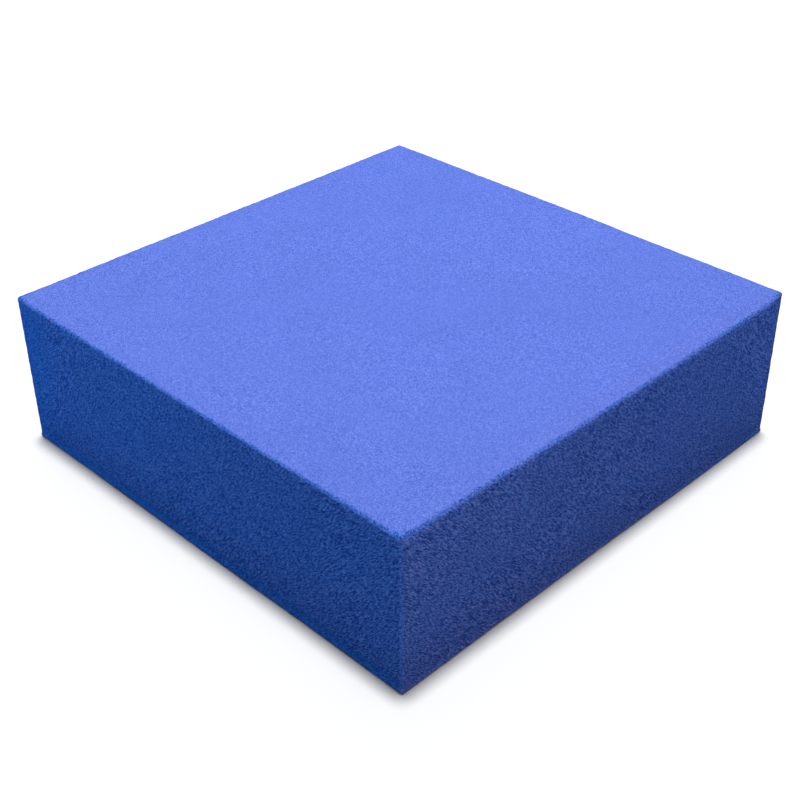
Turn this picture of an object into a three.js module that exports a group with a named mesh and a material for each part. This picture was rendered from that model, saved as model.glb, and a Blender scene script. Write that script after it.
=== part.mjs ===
// A balance pad: one thick square block of bare open-cell foam, sawn to size.
// It has no cover, no seam and no moving part, so the whole object is one solid.
// Millimetres, +Z up. The origin is the centre of the underside.

import * as THREE from 'three';

// Driving dimensions.
const SIDE = 457; // length of each side of the square, 18 in
const HEIGHT = 140; // thickness of the block, 5.5 in
const EDGE_RADIUS = 2; // how round the sawn top and bottom edges have worn
const CORNER_RADIUS = 3; // plan radius of the four upright edges, which wear a little rounder
const ARC_STEPS = 4; // facets across each rounded edge

// Look of the bare foam.
const FOAM_COLOUR = 0x38529e; // royal blue, dyed right through
const FOAM_ROUGHNESS = 0.95;

// A square centred on the origin, with its four corners rounded.
function squareOutline(side, radius) {
  const reach = side / 2 - radius; // from the middle to each corner's arc centre
  const corners = [
    [reach, -reach],
    [reach, reach],
    [-reach, reach],
    [-reach, -reach],
  ];
  const outline = new THREE.Shape();
  corners.forEach(([x, y], quarter) => {
    const start = (quarter - 1) * Math.PI / 2;
    outline.absarc(x, y, radius, start, start + Math.PI / 2);
  });
  outline.closePath();
  return outline;
}

// The block: the square drawn up to its full height, with both flat faces' edges rounded.
function foamBlock() {
  const geometry = new THREE.ExtrudeGeometry(squareOutline(SIDE, CORNER_RADIUS), {
    depth: HEIGHT - 2 * EDGE_RADIUS,
    curveSegments: ARC_STEPS,
    bevelEnabled: true,
    bevelThickness: EDGE_RADIUS,
    bevelSize: EDGE_RADIUS,
    bevelOffset: -EDGE_RADIUS,
    bevelSegments: ARC_STEPS,
  });
  geometry.translate(0, 0, EDGE_RADIUS);
  const foam = new THREE.MeshStandardMaterial({
    color: FOAM_COLOUR,
    roughness: FOAM_ROUGHNESS,
    metalness: 0,
  });
  const block = new THREE.Mesh(geometry, foam);
  block.name = 'foam_block';
  return block;
}

const balancePad = new THREE.Group();
balancePad.add(foamBlock());

export default balancePad;
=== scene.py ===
"""Looks for the balance pad: one square block of bare blue open-cell foam on a pale studio floor.

The block is a closed mesh with real raggedness: sawn faces that are not quite flat, torn cells and
worn edges. Its finest grain, under about 2 mm, is in the material. Lengths are in metres.
"""

import itertools
import math
from types import SimpleNamespace

import bpy
import numpy as np
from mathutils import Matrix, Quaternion, Vector


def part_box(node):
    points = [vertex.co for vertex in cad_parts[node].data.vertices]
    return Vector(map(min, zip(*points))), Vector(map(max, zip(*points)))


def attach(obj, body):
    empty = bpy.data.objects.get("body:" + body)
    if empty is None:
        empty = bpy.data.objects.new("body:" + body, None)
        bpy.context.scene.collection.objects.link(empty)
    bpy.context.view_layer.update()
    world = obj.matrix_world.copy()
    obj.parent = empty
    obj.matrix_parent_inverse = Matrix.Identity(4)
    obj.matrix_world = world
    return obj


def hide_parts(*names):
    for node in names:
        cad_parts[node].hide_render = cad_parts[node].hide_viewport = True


MM = 0.001
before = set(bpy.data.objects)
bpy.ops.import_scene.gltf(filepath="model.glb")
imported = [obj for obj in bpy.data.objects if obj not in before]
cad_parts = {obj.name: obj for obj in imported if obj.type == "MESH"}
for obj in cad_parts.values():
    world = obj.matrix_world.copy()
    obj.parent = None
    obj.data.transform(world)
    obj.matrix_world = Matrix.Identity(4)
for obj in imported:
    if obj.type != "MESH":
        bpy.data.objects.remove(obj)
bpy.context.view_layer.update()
LOW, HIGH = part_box("foam_block")
SIZE = HIGH - LOW
MIDDLE = (LOW + HIGH) / 2


# ---------------------------------------------------------------- camera, floor and light

CAMERA_PLACE = Vector((-0.7187, -0.7204, 0.7048))
CAMERA_AIM = Vector((-0.0374, -0.0366, 0.07))
CAMERA_ROLL = math.radians(-0.41)
CAMERA_LENS = 62.0  # millimetres
CAMERA_SENSOR = 36.0  # millimetres across


def make_camera():
    """The camera at the photograph's viewing angle."""
    data = bpy.data.cameras.new("camera")
    data.lens = CAMERA_LENS
    data.sensor_width = CAMERA_SENSOR
    camera = bpy.data.objects.new("camera", data)
    camera.location = CAMERA_PLACE
    camera.rotation_mode = "QUATERNION"
    level = (CAMERA_AIM - CAMERA_PLACE).to_track_quat("-Z", "Y")
    camera.rotation_quaternion = level @ Quaternion((0, 0, 1), CAMERA_ROLL)
    bpy.context.scene.collection.objects.link(camera)
    bpy.context.scene.camera = camera


FLOOR_REACH = 30.0
FLOOR_COLOUR = (0.505, 0.501, 0.50, 1)


def make_floor():
    """A pale matt floor, level with the pad's underside, bright enough to read as white."""
    mesh = bpy.data.meshes.new("floor")
    ends = ((-1, -1), (1, -1), (1, 1), (-1, 1))
    corners = [(x * FLOOR_REACH, y * FLOOR_REACH, LOW.z) for x, y in ends]
    mesh.from_pydata(corners, [], [(0, 1, 2, 3)])
    floor = bpy.data.objects.new("floor", mesh)
    bpy.context.scene.collection.objects.link(floor)
    paint = bpy.data.materials.new("floor_paint")
    paint.use_nodes = True
    shader = paint.node_tree.nodes["Principled BSDF"]
    shader.inputs["Base Color"].default_value = FLOOR_COLOUR
    shader.inputs["Roughness"].default_value = 1.0
    shader.inputs["Specular IOR Level"].default_value = 0.0
    mesh.materials.append(paint)


# Two distant lights, nearly overhead, so the pad's shadow is a narrow line at its foot.
# name, bearing from +X towards +Y and height above the floor in degrees, spread in degrees,
# watts per square metre
KEYS = (
    ("overhead_key", 45, 87, 8, 5.5),
    ("right_key", 315, 82, 10, 0.38),
)
KEY_DISTANCE = 2.0  # where each is drawn: its light is the same from any distance

# name, bearing, height in degrees, distance, width, height, watts, colour
SOFTBOXES = (
    ("overhead_softbox", 45, 80, 1.2, 0.9, 0.9, 5.0, (0.68, 0.98, 1.0)),
    ("back_softbox", 45, 45, 1.6, 1.6, 1.0, 7.0, (0.79, 0.92, 1.0)),
    ("far_left_fill", 150, 3, 0.8, 0.5, 0.1, 1.17, (0.12, 0.81, 1.0)),
    ("far_right_fill", 310, 8, 0.8, 0.5, 0.25, 0.28, (0.87, 0.93, 1.0)),
    ("front_fill", 250, 2, 1.2, 0.5, 0.08, 10.5, (1.0, 0.21, 0.10)),
)
# The low fills light only the pad, so they leave no tint on the floor.
PAD_ONLY = ("far_left_fill", "far_right_fill", "front_fill")
SURROUND_LIGHT = 0.01  # how much the room itself lights the pad
SURROUND_SEEN = 0.9  # how bright the pale room looks past the floor's end


def from_middle(bearing, height):
    """The direction from the pad to a light at that bearing and height above the floor."""
    flat, up = math.radians(bearing), math.radians(height)
    return Vector((math.cos(flat) * math.cos(up), math.sin(flat) * math.cos(up), math.sin(up)))


def add_light(data, towards, distance):
    """A light seen from the pad in that direction, facing the pad's middle."""
    light = bpy.data.objects.new(data.name, data)
    light.location = MIDDLE + towards * distance
    light.rotation_mode = "QUATERNION"
    light.rotation_quaternion = (-towards).to_track_quat("-Z", "Y")
    light.visible_camera = False
    bpy.context.scene.collection.objects.link(light)
    return light


def make_lights(pad):
    """Soft studio light, most of it from above and behind."""
    lit = bpy.data.collections.new("pad_only")
    lit.objects.link(pad)
    for name, bearing, above, spread, strength in KEYS:
        key = bpy.data.lights.new(name, "SUN")
        key.angle = math.radians(spread)
        key.energy = strength
        add_light(key, from_middle(bearing, above), KEY_DISTANCE)
    for name, bearing, above, distance, width, height, watts, colour in SOFTBOXES:
        box = bpy.data.lights.new(name, "AREA")
        box.shape = "RECTANGLE"
        box.size = width
        box.size_y = height
        box.energy = watts
        box.color = colour
        light = add_light(box, from_middle(bearing, above), distance)
        if name in PAD_ONLY:
            light.light_linking.receiver_collection = lit


def make_surround():
    """A pale room: it looks white past the floor's end, and adds only a little light."""
    world = bpy.data.worlds.new("surround")
    world.use_nodes = True
    nodes, links = world.node_tree.nodes, world.node_tree.links
    path = nodes.new("ShaderNodeLightPath")
    strength = nodes.new("ShaderNodeMix")
    strength.inputs["A"].default_value = SURROUND_LIGHT
    strength.inputs["B"].default_value = SURROUND_SEEN
    links.new(path.outputs["Is Camera Ray"], strength.inputs["Factor"])
    background = nodes["Background"]
    background.inputs["Color"].default_value = (1, 1, 1, 1)
    links.new(strength.outputs["Result"], background.inputs["Strength"])
    bpy.context.scene.world = world
    bpy.context.scene.view_settings.view_transform = "Standard"


# ---------------------------------------------------------------- random fields

HASH = np.array((0x9E3779B1, 0x85EBCA77, 0xC2B2AE3D), np.uint32)
HASH_STEPS = ((15, 0x2C1B3C6D), (12, 0x297A2D39))  # shift, factor
HASH_BITS = 0xFFFFFF
SEED_STEP = 7919


def scatter(grid, seed):
    """A random number from 0 to 1 for each whole-numbered grid point, the same in every run."""
    whole = grid.astype(np.int64).astype(np.uint32)
    mixed = (whole * HASH).sum(-1, dtype=np.uint32) + np.uint32(seed * SEED_STEP)
    for shift, factor in HASH_STEPS:
        mixed = (mixed ^ (mixed >> np.uint32(shift))) * np.uint32(factor)
    mixed ^= mixed >> np.uint32(HASH_STEPS[0][0])
    return (mixed & np.uint32(HASH_BITS)).astype(np.float32) * np.float32(1 / HASH_BITS)


def noise(points, lump, seed):
    """Smooth random values from -1 to 1, in lumps about lump metres across."""
    cell = points / lump
    base = np.floor(cell)
    part = (cell - base).astype(np.float32)
    eased = part * part * (3 - 2 * part)
    total = np.zeros(len(points), np.float32)
    for corner in itertools.product((0, 1), repeat=3):
        weight = np.where(corner, eased, 1 - eased).prod(-1)
        total += weight * scatter(base + corner, seed)
    return 2 * total - 1


def pits(points, spacing, share, radius, seed):
    """How deep each point is inside scattered round pits, from 0 outside to 1 at a pit's middle.

    Pit centres sit one to a cell of a grid of the given spacing, in that share of the cells, and
    each pit's radius is from half the given one to all of it.
    """
    base = np.floor(points / spacing)
    depth = np.zeros(len(points), np.float32)
    for step in itertools.product((-1, 0, 1), repeat=3):
        cell = base + step
        centre = np.stack([cell[:, k] + scatter(cell, seed + k) for k in range(3)], -1) * spacing
        reach = radius * (0.5 + 0.5 * scatter(cell, seed + 3))
        near = np.clip(1 - np.linalg.norm(points - centre, axis=1) / reach, 0, 1)
        depth = np.maximum(depth, near * (scatter(cell, seed + 4) < share))
    return depth


def ease(low, high, value):
    """0 below low, 1 above high, and a smooth step between."""
    t = np.clip((value - low) / (high - low), 0, 1)
    return t * t * (3 - 2 * t)


# ---------------------------------------------------------------- the foam block's mesh

EDGE_RADIUS = 2.8 * MM
TOP_EDGE_POWER = 2  # an edge's shape: 2 is a round arc, and more is squarer
FOOT_EDGE_POWER = 8
EDGE_BAND = 6 * MM  # the strip beside each edge where the grid is finest
EDGE_STEP = 0.75 * MM
FACE_STEP = 1.5 * MM


def grid_places(low, high):
    """Grid line places along one axis: fine beside both edges, coarser between them."""
    edge_step, face_step = ((EDGE_STEP, FACE_STEP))
    edge_count = round(EDGE_BAND / edge_step)
    face_count = round((high - low - 2 * EDGE_BAND) / face_step)
    first = np.linspace(low, low + EDGE_BAND, edge_count + 1)
    between = np.linspace(low + EDGE_BAND, high - EDGE_BAND, face_count + 1)
    last = np.linspace(high - EDGE_BAND, high, edge_count + 1)
    return np.concatenate([first, between[1:-1], last])


def shell(places):
    """The points on the six faces of a grid of places, and the quads over them, all facing out."""
    counts = [len(p) for p in places]
    inside = np.zeros(counts, bool)
    inside[1:-1, 1:-1, 1:-1] = True
    index = np.full(counts, -1, np.int32)
    index[~inside] = np.arange((~inside).sum())
    at = np.nonzero(~inside)
    points = np.stack([places[k][at[k]] for k in range(3)], -1)
    quads = []
    for axis, end in itertools.product(range(3), (0, -1)):
        face = np.take(index, end, axis=axis)
        ring = [face[:-1, :-1], face[1:, :-1], face[1:, 1:], face[:-1, 1:]]
        if (end == 0) != (axis == 1):
            ring.reverse()
        quads.append(np.stack(ring, -1).reshape(-1, 4))
    return points, np.concatenate(quads)


def rounded(points):
    """The points moved onto a block with rounded edges, each point's outward direction, and how far
    each lies from the nearest edge of the two large faces, and from the nearest upright edge."""
    low = np.array(LOW) + EDGE_RADIUS
    high = np.array(HIGH) - EDGE_RADIUS
    core = np.clip(points, low, high)
    out = points - core
    out /= np.linalg.norm(out, axis=1)[:, None]
    power = np.where(out[:, 2] < 0, FOOT_EDGE_POWER, TOP_EDGE_POWER)[:, None]
    reach = EDGE_RADIUS / (np.abs(out)**power).sum(1, keepdims=True)**(1 / power)
    inset = np.minimum(points - np.array(LOW), np.array(HIGH) - points)
    from_rim = np.maximum(inset[:, 2], np.minimum(inset[:, 0], inset[:, 1]))
    from_upright = np.maximum(inset[:, 0], inset[:, 1])
    return core + out * reach, out, from_rim, from_upright


STRAND_STRETCH = 5.5  # how many times longer than wide a strand is


def combed(points, out, quads):
    """Each quad's corners, squeezed on the sides along the way the saw dragged their strands.

    Noise laid over these looks drawn out that way, up and towards -X or -Y.
    """
    corners = points[quads]
    facing = np.abs(out[quads].mean(1)).argmax(1)
    for side, along in ((0, 1), (1, 0)):
        way = np.array((0.0, 0.0, math.sqrt(0.5)))
        way[along] = -way[2]
        here = corners[facing == side]
        corners[facing == side] -= (1 - 1 / STRAND_STRETCH) * (here @ way)[..., None] * way
    return corners


# what makes the surface uneven, each with its size across, its depth and its random seed
SAW_WAVE = (38 * MM, 0.12 * MM, 11)
SLOW_WAVE = (120 * MM, 0.6 * MM, 12)
LUMPS = (7 * MM, 0.06 * MM, 13)
CELLS = (2.6 * MM, 0.16 * MM, 14)
EDGE_LUMPS = (8 * MM, 0.10 * MM, 15)
EDGE_TUFTS = (2.3 * MM, 0.25 * MM, 16)
EDGE_LOSS = 0.2  # the edges have worn down a little more than they stand out
PIT_SPACING, PIT_SHARE, PIT_RADIUS, PIT_DEPTH, PIT_SEED = 14 * MM, 0.03, 1.8 * MM, 0.7 * MM, 17


def unevenness(points, near_edge):
    """How far each point stands out from the smooth block, and how deep it is in a pit."""
    rise = np.zeros(len(points), np.float32)
    for lump, depth, seed in (SAW_WAVE, SLOW_WAVE, LUMPS, CELLS):
        rise += depth * noise(points, lump, seed)
    for lump, depth, seed in (EDGE_LUMPS, EDGE_TUFTS):
        rise += depth * near_edge * (noise(points, lump, seed) - EDGE_LOSS)
    pit = pits(points, PIT_SPACING, PIT_SHARE, PIT_RADIUS, PIT_SEED)
    rise -= PIT_DEPTH * pit
    return rise, pit


# The saw wandered, so the top is this much higher at the -X +Y, +X -Y and +X +Y corners.
TALL_CORNERS = (1.9 * MM, 2.2 * MM, 1.9 * MM)
# The top edges of the -X and -Y sides have sunk by this much, away from the corner they share.
SAGS = (1.3 * MM, 3.0 * MM)
SAG_BAND = 18 * MM  # how far in from those edges the sag reaches
SAG_GROWTH = 0.6  # the share of the edge over which it grows from the shared corner
SAG_END = 0.05  # and the share over which it ends at the far corner


def top_height(points, inset):
    """How far above or below the CAD model's top the sawn and worn top is over each point."""
    across, along = ((points[:, k] - LOW[k]) / SIZE[k] for k in (0, 1))
    tall = TALL_CORNERS[0] * (1 - across) * along + TALL_CORNERS[1] * across * (1 - along)
    tall += TALL_CORNERS[2] * across * along
    sunk = np.zeros(len(points))
    for sag, from_side, place in zip(SAGS, inset[:, :2].T, (along, across)):
        near = 1 - ease(0, SAG_BAND, from_side)
        sunk += sag * near * ease(0, SAG_GROWTH, place) * ease(0, SAG_END, 1 - place)
    return tall - sunk


RIM_BAND = 4 * MM  # how far in the wear of the large faces' edges reaches
UPRIGHT_BAND = 3 * MM
CORNER_WEAR = 16 * MM  # how far from each upright edge its top corner is worn
# The rim's mark is stronger by the front corner: from and to what distance, and by what share.
FRONT_WEAR = ((3.2 * MM, 12.8 * MM, 0.5), (0, 96 * MM, 0.25))
PAINTED_BLUE_LIGHT_HEIGHT = 15 * MM  # painted blue light: a strip along the foot of the -X side is painted a more saturated blue
PAINTED_BLUE_LIGHT_WIDTH = 55 * MM  # and another along its upright edge at +Y
PAINTED_BLUE_LIGHT_FADE = (0.6, 0.1)  # the shares of those sizes at which each starts to fade
PAINTED_BLUE_LIGHT_SIDE = (-0.5, -0.9)  # it starts and is complete where the surface faces -X by this much
PAINTED_RIM_LIGHT_HEIGHTS = (0.93, 0.98)  # painted light: between these shares of its height the -Y side is painted lighter under its rim
PAINTED_RIM_LIGHT_SIDE = (-0.75, -1)  # only where the surface faces -Y, from and to this much


def foam_block():
    """The block's mesh, with its unevenness in real geometry."""
    grid, quads = shell([grid_places(LOW[k], HIGH[k]) for k in range(3)])
    points, out, from_rim, from_upright = rounded(grid)
    inset = grid - np.array(LOW)
    from_corner = np.linalg.norm(np.minimum(inset, np.array(HIGH) - grid)[:, :2], axis=1)
    worn = 1 - ease(0, CORNER_WEAR, from_corner)
    rim = 1 - ease(0, RIM_BAND * (1 + worn), from_rim)
    upright = 1 - ease(0, UPRIGHT_BAND, from_upright)
    rise, pit = unevenness(points, np.maximum(rim, upright))
    points = points + out * rise[:, None]
    points[:, 2] += top_height(points, inset) * (points[:, 2] - LOW.z) / SIZE.z
    points[:, 2] = np.maximum(points[:, 2], LOW.z)
    mesh = bpy.data.meshes.new("foam_pad")
    mesh.from_pydata(points, [], quads)
    mesh.shade_smooth()

    from_front = np.linalg.norm(inset[:, :2], axis=1)
    front = sum(share * (1 - ease(near, far, from_front)) for near, far, share in FRONT_WEAR)
    above_painted_blue_light = ease(PAINTED_BLUE_LIGHT_FADE[0], 1, inset[:, 2] / PAINTED_BLUE_LIGHT_HEIGHT)
    beside_painted_blue_light = ease(PAINTED_BLUE_LIGHT_FADE[1], 1, (HIGH.y - grid[:, 1]) / PAINTED_BLUE_LIGHT_WIDTH)
    height = (points[:, 2] - LOW.z) / SIZE.z
    marks = {
        "pit": pit,
        "rim": rim * (1 + front),
        "upright": upright,
        "facing": np.abs(out[:, 2]),
        "skin": (1 - above_painted_blue_light * beside_painted_blue_light) * ease(*PAINTED_BLUE_LIGHT_SIDE, out[:, 0]),
        "height": height,
        # painted light: the strip under the -Y side's rim
        "frayed": ease(*PAINTED_RIM_LIGHT_HEIGHTS, height) * ease(*PAINTED_RIM_LIGHT_SIDE, out[:, 1]),
    }
    for name, values in marks.items():
        layer = mesh.attributes.new(name, "FLOAT", "POINT")
        layer.data.foreach_set("value", values.astype(np.float32))
    squeezed = mesh.attributes.new("combed", "FLOAT_VECTOR", "CORNER")
    squeezed.data.foreach_set("vector", combed(points, out, quads).astype(np.float32).ravel())
    pad = bpy.data.objects.new("foam_pad", mesh)
    bpy.context.scene.collection.objects.link(pad)
    return pad


# ---------------------------------------------------------------- material nodes


class Tree:
    """A material's node tree, with short ways to add and join nodes."""

    def __init__(self, material):
        material.use_nodes = True
        self.nodes = material.node_tree.nodes
        self.links = material.node_tree.links
        self.shader = self.nodes["Principled BSDF"]

    def add(self, kind, settings=None, **inputs):
        """A new node. Each input is a number, a colour or another node's output."""
        node = self.nodes.new("ShaderNode" + kind)
        for name, value in (settings or {}).items():
            setattr(node, name, value)
        for name, value in inputs.items():
            self.put(node.inputs[name.replace("_", " ")], value)
        return node

    def put(self, socket, value):
        """Joins an output to a socket, or sets the socket's own value."""
        if isinstance(value, bpy.types.NodeSocket):
            self.links.new(value, socket)
        else:
            socket.default_value = value

    def remap(self, value, low, high, to_low=0, to_high=1):
        """The value taken smoothly from the range low to high to another range."""
        node = self.add("MapRange", {"interpolation_type": "SMOOTHSTEP"})
        for socket, number in zip(node.inputs, (value, low, high, to_low, to_high)):
            self.put(socket, number)
        return node.outputs["Result"]

    def math(self, operation, first, second):
        """The sum, product or other operation on two values."""
        node = self.add("Math", {"operation": operation})
        self.put(node.inputs[0], first)
        self.put(node.inputs[1], second)
        return node.outputs["Value"]

    def product(self, first, *others):
        """All the values multiplied together."""
        for other in others:
            first = self.math("MULTIPLY", first, other)
        return first

    def mix(self, factor, first, second):
        """One colour turning into another as factor goes from 0 to 1."""
        node = self.add("Mix", {"data_type": "RGBA"})
        self.put(node.inputs["Factor"], factor)
        self.put(next(i for i in node.inputs if i.name == "A" and i.type == "RGBA"), first)
        self.put(next(i for i in node.inputs if i.name == "B" and i.type == "RGBA"), second)
        return next(o for o in node.outputs if o.type == "RGBA")

    def ramp(self, factor, colours):
        """The colours in turn, evenly spaced, as factor goes from 0 to 1."""
        node = self.add("ValToRGB")
        self.put(node.inputs["Factor"] if "Factor" in node.inputs else node.inputs["Fac"], factor)
        stops = node.color_ramp.elements
        while len(stops) < len(colours):
            stops.new(0.5)
        for number, colour in enumerate(colours):
            stops[number].position = number / (len(colours) - 1)
            stops[number].color = colour
        return node.outputs["Color"]

    def blend(self, factor, first, second):
        """One number turning into another as factor goes from 0 to 1."""
        node = self.add("Mix", Factor=factor, A=first, B=second)
        return node.outputs["Result"]

    def noise(self, where, size, detail):
        """Smooth noise in lumps about size metres across."""
        node = self.add("TexNoise", Vector=where, Scale=1 / size, Detail=detail)
        return node.outputs["Fac"]

    def cells(self, where, size):
        """How far each place is from the middle of its cell, in cells about size metres across."""
        return self.add("TexVoronoi", Vector=where, Scale=1 / size).outputs["Distance"]

    def mark(self, name, output="Fac"):
        """One of the mesh's own attributes."""
        return self.add("Attribute", {"attribute_name": name}).outputs[output]


# ---------------------------------------------------------------- the foam's material

# Sizes of the textures. The drawn ones lie along the strands.
CELL = 1.5 * MM
GRAIN = 0.75 * MM
DRAWN_CELL = 1.0 * MM
FIBRE = 0.75 * MM
TEETH = 2.2 * MM
# The range of a texture's values that is used: the narrower it is, the crisper the texture.
CELL_RANGE = (0.2, 0.85)
GRAIN_RANGE = (0.35, 0.65)
FIBRE_RANGE = (0.30, 0.70)
TEETH_RANGE = (0.30, 0.70)
TONE_RANGE = (0.10, 0.85)
SIDE_TONE_RANGE = (0.08, 0.90)
# How much of the second texture there is in each pair.
GRAIN_IN_TONE = 0.6
FIBRE_IN_SIDE_TONE = 0.8
GRAIN_IN_SIDE_TONE = 0.36
TONE_IN_TEETH = 0.35
RAGGEDNESS = 0.85  # how far the rim wanders across the rounded edge, which is 1 across
FACE_START = (0.60, 0.95)  # how much a surface faces up or down where a large face starts


def foam_textures(tree):
    """The marks and textures that the foam's colours and relief are made from."""
    names = ("facing", "rim", "upright", "pit", "skin", "height", "frayed")
    foam = SimpleNamespace(**{name: tree.mark(name) for name in names})
    foam.where = tree.add("TexCoord").outputs["Object"]
    foam.drawn_out = tree.mark("combed", "Vector")
    foam.open_cell = tree.remap(tree.cells(foam.where, CELL), *CELL_RANGE)
    foam.drawn_cell = tree.remap(tree.cells(foam.drawn_out, DRAWN_CELL), *CELL_RANGE)
    foam.grain = tree.noise(foam.where, GRAIN, 0)
    foam.fibre = tree.noise(foam.drawn_out, FIBRE, 1)

    speck = tree.remap(foam.grain, *GRAIN_RANGE)
    foam.tone = tree.remap(tree.blend(GRAIN_IN_TONE, foam.open_cell, speck), *TONE_RANGE)
    side_tone = tree.remap(foam.fibre, *FIBRE_RANGE)
    side_tone = tree.blend(FIBRE_IN_SIDE_TONE, foam.drawn_cell, side_tone)
    side_tone = tree.blend(GRAIN_IN_SIDE_TONE, side_tone, speck)
    foam.side_tone = tree.remap(side_tone, *SIDE_TONE_RANGE)
    teeth = tree.remap(tree.noise(foam.where, TEETH, 2), *TEETH_RANGE)
    foam.teeth = tree.blend(TONE_IN_TEETH, teeth, foam.tone)
    foam.edge = tree.math("MINIMUM", foam.rim, 1.0)
    wander = tree.product(foam.rim, tree.remap(foam.teeth, 0, 1, -RAGGEDNESS, RAGGEDNESS))
    foam.ragged = tree.math("ADD", foam.facing, wander)
    foam.large_face = tree.remap(foam.ragged, *FACE_START)
    return foam


# Each set runs from an open cell's dark inside, through its wall, to a strand standing proud.
SIDE_BLUES = ((0.0, 0.016, 0.180, 1), (0.004, 0.063, 0.337, 1), (0.040, 0.134, 0.515, 1))
# the same, more saturated, for the painted blue light on the -X side's strips
PAINTED_BLUE_LIGHT_BLUES = ((0.0, 0.023, 0.220, 1), (0.001, 0.069, 0.385, 1), (0.004, 0.125, 0.515, 1))
RIM_BLUES = ((0.002, 0.026, 0.185, 1), (0.018, 0.077, 0.350, 1), (0.042, 0.126, 0.455, 1))
TUFT_HIGHLIGHT_BLUE = (0.017, 0.122, 0.610, 1)  # painted highlight on the strands standing out along the upright edges
TIP_BLUE = (0.075, 0.155, 0.530, 1)  # the ends of the strands that stand furthest out
TIP = 0.9 * MM
TIP_RANGE = (0.58, 0.78)
TIP_STRENGTH = 0.8
MOTTLE = 9 * MM  # the size of the areas with more or fewer of those ends
MOTTLE_RANGE = (0.35, 0.65)
FEWEST_TIPS = 0.2
PAINTED_BLUE_LIGHT_STRENGTH = 0.7
TUFT = 3.0 * MM
TUFT_RANGE = (0.46, 0.62)
ROUNDING_START = (0.10, 0.50)  # how much a surface faces up where the side turns into the rim
RIM_STRENGTH = 0.5  # how much of the rim's colour the strips beside and under it have
UNDER_RIM = 0.93  # the height, as a share, at which the strip under it starts


def side_colour(tree, foam):
    """The sides, where the saw dragged the foam into strands, and the rims above them."""
    tips = tree.remap(tree.noise(foam.drawn_out, TIP, 1), *TIP_RANGE, 0, TIP_STRENGTH)
    mottle = tree.remap(tree.noise(foam.where, MOTTLE, 1), *MOTTLE_RANGE, FEWEST_TIPS, 1)
    side = tree.mix(tree.product(tips, mottle), tree.ramp(foam.side_tone, SIDE_BLUES), TIP_BLUE)
    # painted blue light: the -X side's strips are painted a more saturated blue
    skin = tree.product(foam.skin, PAINTED_BLUE_LIGHT_STRENGTH)
    side = tree.mix(skin, side, tree.ramp(foam.side_tone, PAINTED_BLUE_LIGHT_BLUES))
    # painted highlight: the tufts along the upright edges are painted lighter
    tuft_highlight = tree.remap(tree.noise(foam.where, TUFT, 1), *TUFT_RANGE)
    side = tree.mix(tree.product(foam.upright, tuft_highlight), side, TUFT_HIGHLIGHT_BLUE)
    beside_rim = tree.product(foam.edge, RIM_STRENGTH)
    under_rim = tree.remap(foam.height, UNDER_RIM, 1, 0, RIM_STRENGTH)
    rim = tree.math("MAXIMUM", beside_rim, under_rim)
    rim = tree.math("MAXIMUM", tree.remap(foam.ragged, *ROUNDING_START), rim)
    return tree.mix(rim, side, tree.ramp(foam.side_tone, RIM_BLUES))


# The two large faces are cut finer, and are painted paler than the sides: a painted sheen.
FACE_AND_SHEEN_BLUES = ((0.036, 0.066, 0.298, 1), (0.062, 0.096, 0.350, 1), (0.090, 0.128, 0.404, 1))
UNSHEENED_BLUE = (0.018, 0.090, 0.350, 1)  # their blue without the painted sheen, which fades along their edges
TORN_SHADE_BLUE = (0.010, 0.032, 0.135, 1)  # painted shade: the very edge, painted dark where its cells are torn
COARSE = 3.0 * MM
COARSE_RANGE = (0.30, 0.70)
COARSE_TONE = 0.15
SHEEN_GONE_AT_EDGE = 0.3  # how much of the painted sheen fades at the edge of the flat
SHEEN_GONE_TURN = (0.7, 0.98)  # how much the rounded edge faces up where the painted sheen has most and least faded
SHEEN_LEFT = 0.55  # how much of the painted sheen is left where it has most faded
TORN_REACH = 0.66  # the very edge is torn wherever the teeth's texture is below this
TORN_FADE = 0.12  # how soft a tear's outline is


def face_colour(tree, foam):
    """The top and the underside, with their painted sheen fading at their edges, and the painted
    shade of their torn edges.
    """
    coarse = tree.noise(foam.where, COARSE, 2)
    coarse = tree.remap(coarse, *COARSE_RANGE, -COARSE_TONE, COARSE_TONE)
    # painted sheen: the large faces' paler colour
    face = tree.ramp(tree.math("ADD", foam.tone, coarse), FACE_AND_SHEEN_BLUES)
    # the painted sheen fades at the flat's edge and where the rounded edge turns down
    sheen_gone_at_turn = tree.math("SUBTRACT", foam.rim, SHEEN_LEFT)
    turned = tree.remap(foam.facing, *SHEEN_GONE_TURN, sheen_gone_at_turn, 0)
    sheen_gone = tree.math("MAXIMUM", tree.product(foam.edge, SHEEN_GONE_AT_EDGE), turned)
    face = tree.mix(sheen_gone, face, UNSHEENED_BLUE)
    # painted shade: the very edge is painted dark where its cells are torn
    torn_shade = tree.math("SUBTRACT", tree.product(foam.edge, TORN_REACH), foam.teeth)
    return tree.mix(tree.remap(torn_shade, 0, TORN_FADE), face, TORN_SHADE_BLUE)


LINT_COLOUR = (0.30, 0.34, 0.55, 1)  # the odd pale fleck caught in the cells
LINT = 0.8 * MM
LINT_SPACING = 35 * MM
LINT_CORE = 0.7  # the share of a fleck's size that is its solid middle
LINT_STRENGTH = 0.6


def lint_amount(tree, foam):
    """Where pale flecks lie on the large faces."""
    size = LINT / LINT_SPACING
    from_fleck = tree.cells(foam.where, LINT_SPACING)
    fleck = tree.remap(from_fleck, LINT_CORE * size, size, LINT_STRENGTH, 0)
    return tree.product(fleck, foam.large_face)


PATCH = 40 * MM
PATCH_RANGE = (0.3, 0.7)
PATCH_SHADES = (0.98, 1.02)
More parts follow.
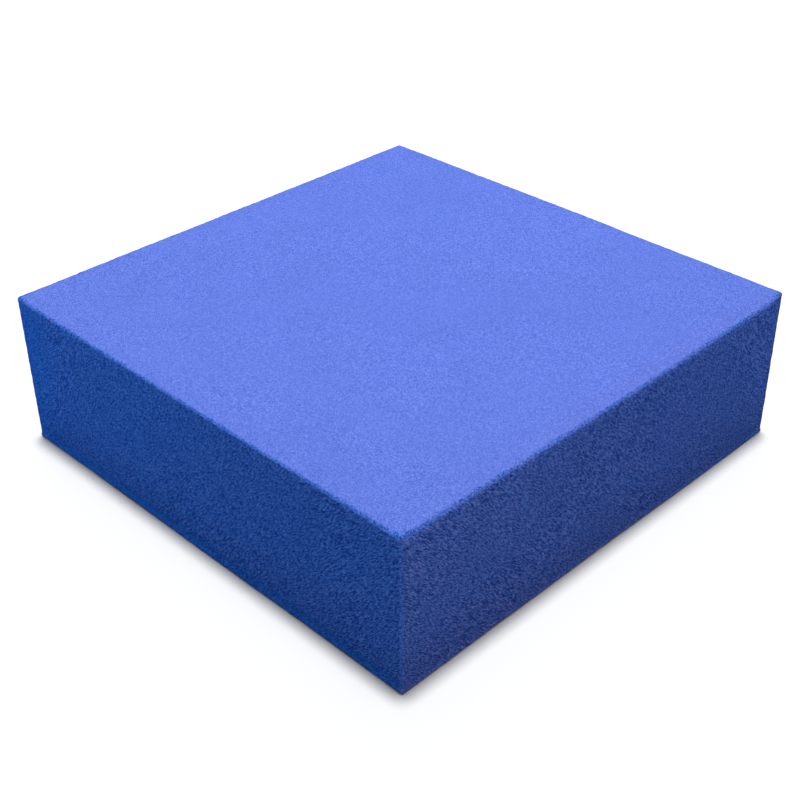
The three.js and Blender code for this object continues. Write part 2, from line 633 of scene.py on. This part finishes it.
# painted shade: each pit's colour darkens towards its middle
PAINTED_PIT_SHADE = 0.6
PAINTED_FOOT_SHADE = 0.88  # painted shade: the sides' shade at the foot, evenly growing to 1 at the rim
PAINTED_FOOT_SHADE_HEIGHT = 0.45  # painted shade: the share of the height over which they darken by as much again
PAINTED_FOOT_LIGHT_HEIGHT, PAINTED_FOOT_LIGHT = 0.07, 1.6  # painted light: the bottom strip is painted lighter against the contact shade; its share of the height, its shade
PAINTED_RIM_LIGHT = 1.2  # painted light: the shade of the strip under the -Y side's rim


def shade(tree, foam):
    """How much lighter or darker than its colour each part is: random patches, painted shade in the
    pits and towards the foot, and painted light at the very foot and under the -Y side's rim.
    """
    return tree.product(
        tree.remap(tree.noise(foam.where, PATCH, 3), *PATCH_RANGE, *PATCH_SHADES),
        tree.remap(foam.pit, 0, 1, 1, PAINTED_PIT_SHADE),
        tree.blend(foam.height, PAINTED_FOOT_SHADE, 1.0),
        tree.remap(foam.height, 0, PAINTED_FOOT_SHADE_HEIGHT, PAINTED_FOOT_SHADE, 1),
        tree.remap(foam.height, 0, PAINTED_FOOT_LIGHT_HEIGHT, PAINTED_FOOT_LIGHT, 1),
        tree.blend(foam.frayed, 1.0, PAINTED_RIM_LIGHT))


SIDE_RELIEF = 0.30 * MM
FACE_RELIEF = 0.18 * MM
CELL_DEPTH = 0.6  # how many times those depths the cells have
GRAIN_DEPTH = 1.6  # and the grain or the fibres
ROUGHNESS = 0.95
SHINE = 0.08


def foam_material():
    """Bare open-cell foam: matt and a little furry, with fine open cells."""
    material = bpy.data.materials.new("foam")
    tree = Tree(material)
    foam = foam_textures(tree)
    colour = tree.mix(foam.large_face, side_colour(tree, foam), face_colour(tree, foam))
    colour = tree.mix(lint_amount(tree, foam), colour, LINT_COLOUR)
    shaded = tree.add("VectorMath", {"operation": "SCALE"}, Scale=shade(tree, foam))
    tree.put(shaded.inputs[0], colour)
    tree.put(tree.shader.inputs["Base Color"], shaded.outputs["Vector"])

    cells = tree.blend(foam.large_face, foam.drawn_cell, foam.open_cell)
    strands = tree.blend(foam.large_face, foam.fibre, foam.grain)
    relief = tree.math("ADD", tree.product(cells, CELL_DEPTH), tree.product(strands, GRAIN_DEPTH))
    depth = tree.blend(foam.large_face, SIDE_RELIEF, FACE_RELIEF)
    bump = tree.add("Bump", Strength=1.0, Distance=depth, Height=relief)
    tree.put(tree.shader.inputs["Normal"], bump.outputs["Normal"])
    tree.shader.inputs["Roughness"].default_value = ROUGHNESS
    tree.shader.inputs["Specular IOR Level"].default_value = SHINE
    return material


# ---------------------------------------------------------------- the whole scene

make_camera()
make_floor()
make_surround()
foam_pad = foam_block()
make_lights(foam_pad)
foam_pad.data.materials.append(foam_material())
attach(foam_pad, "root")
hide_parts("foam_block")
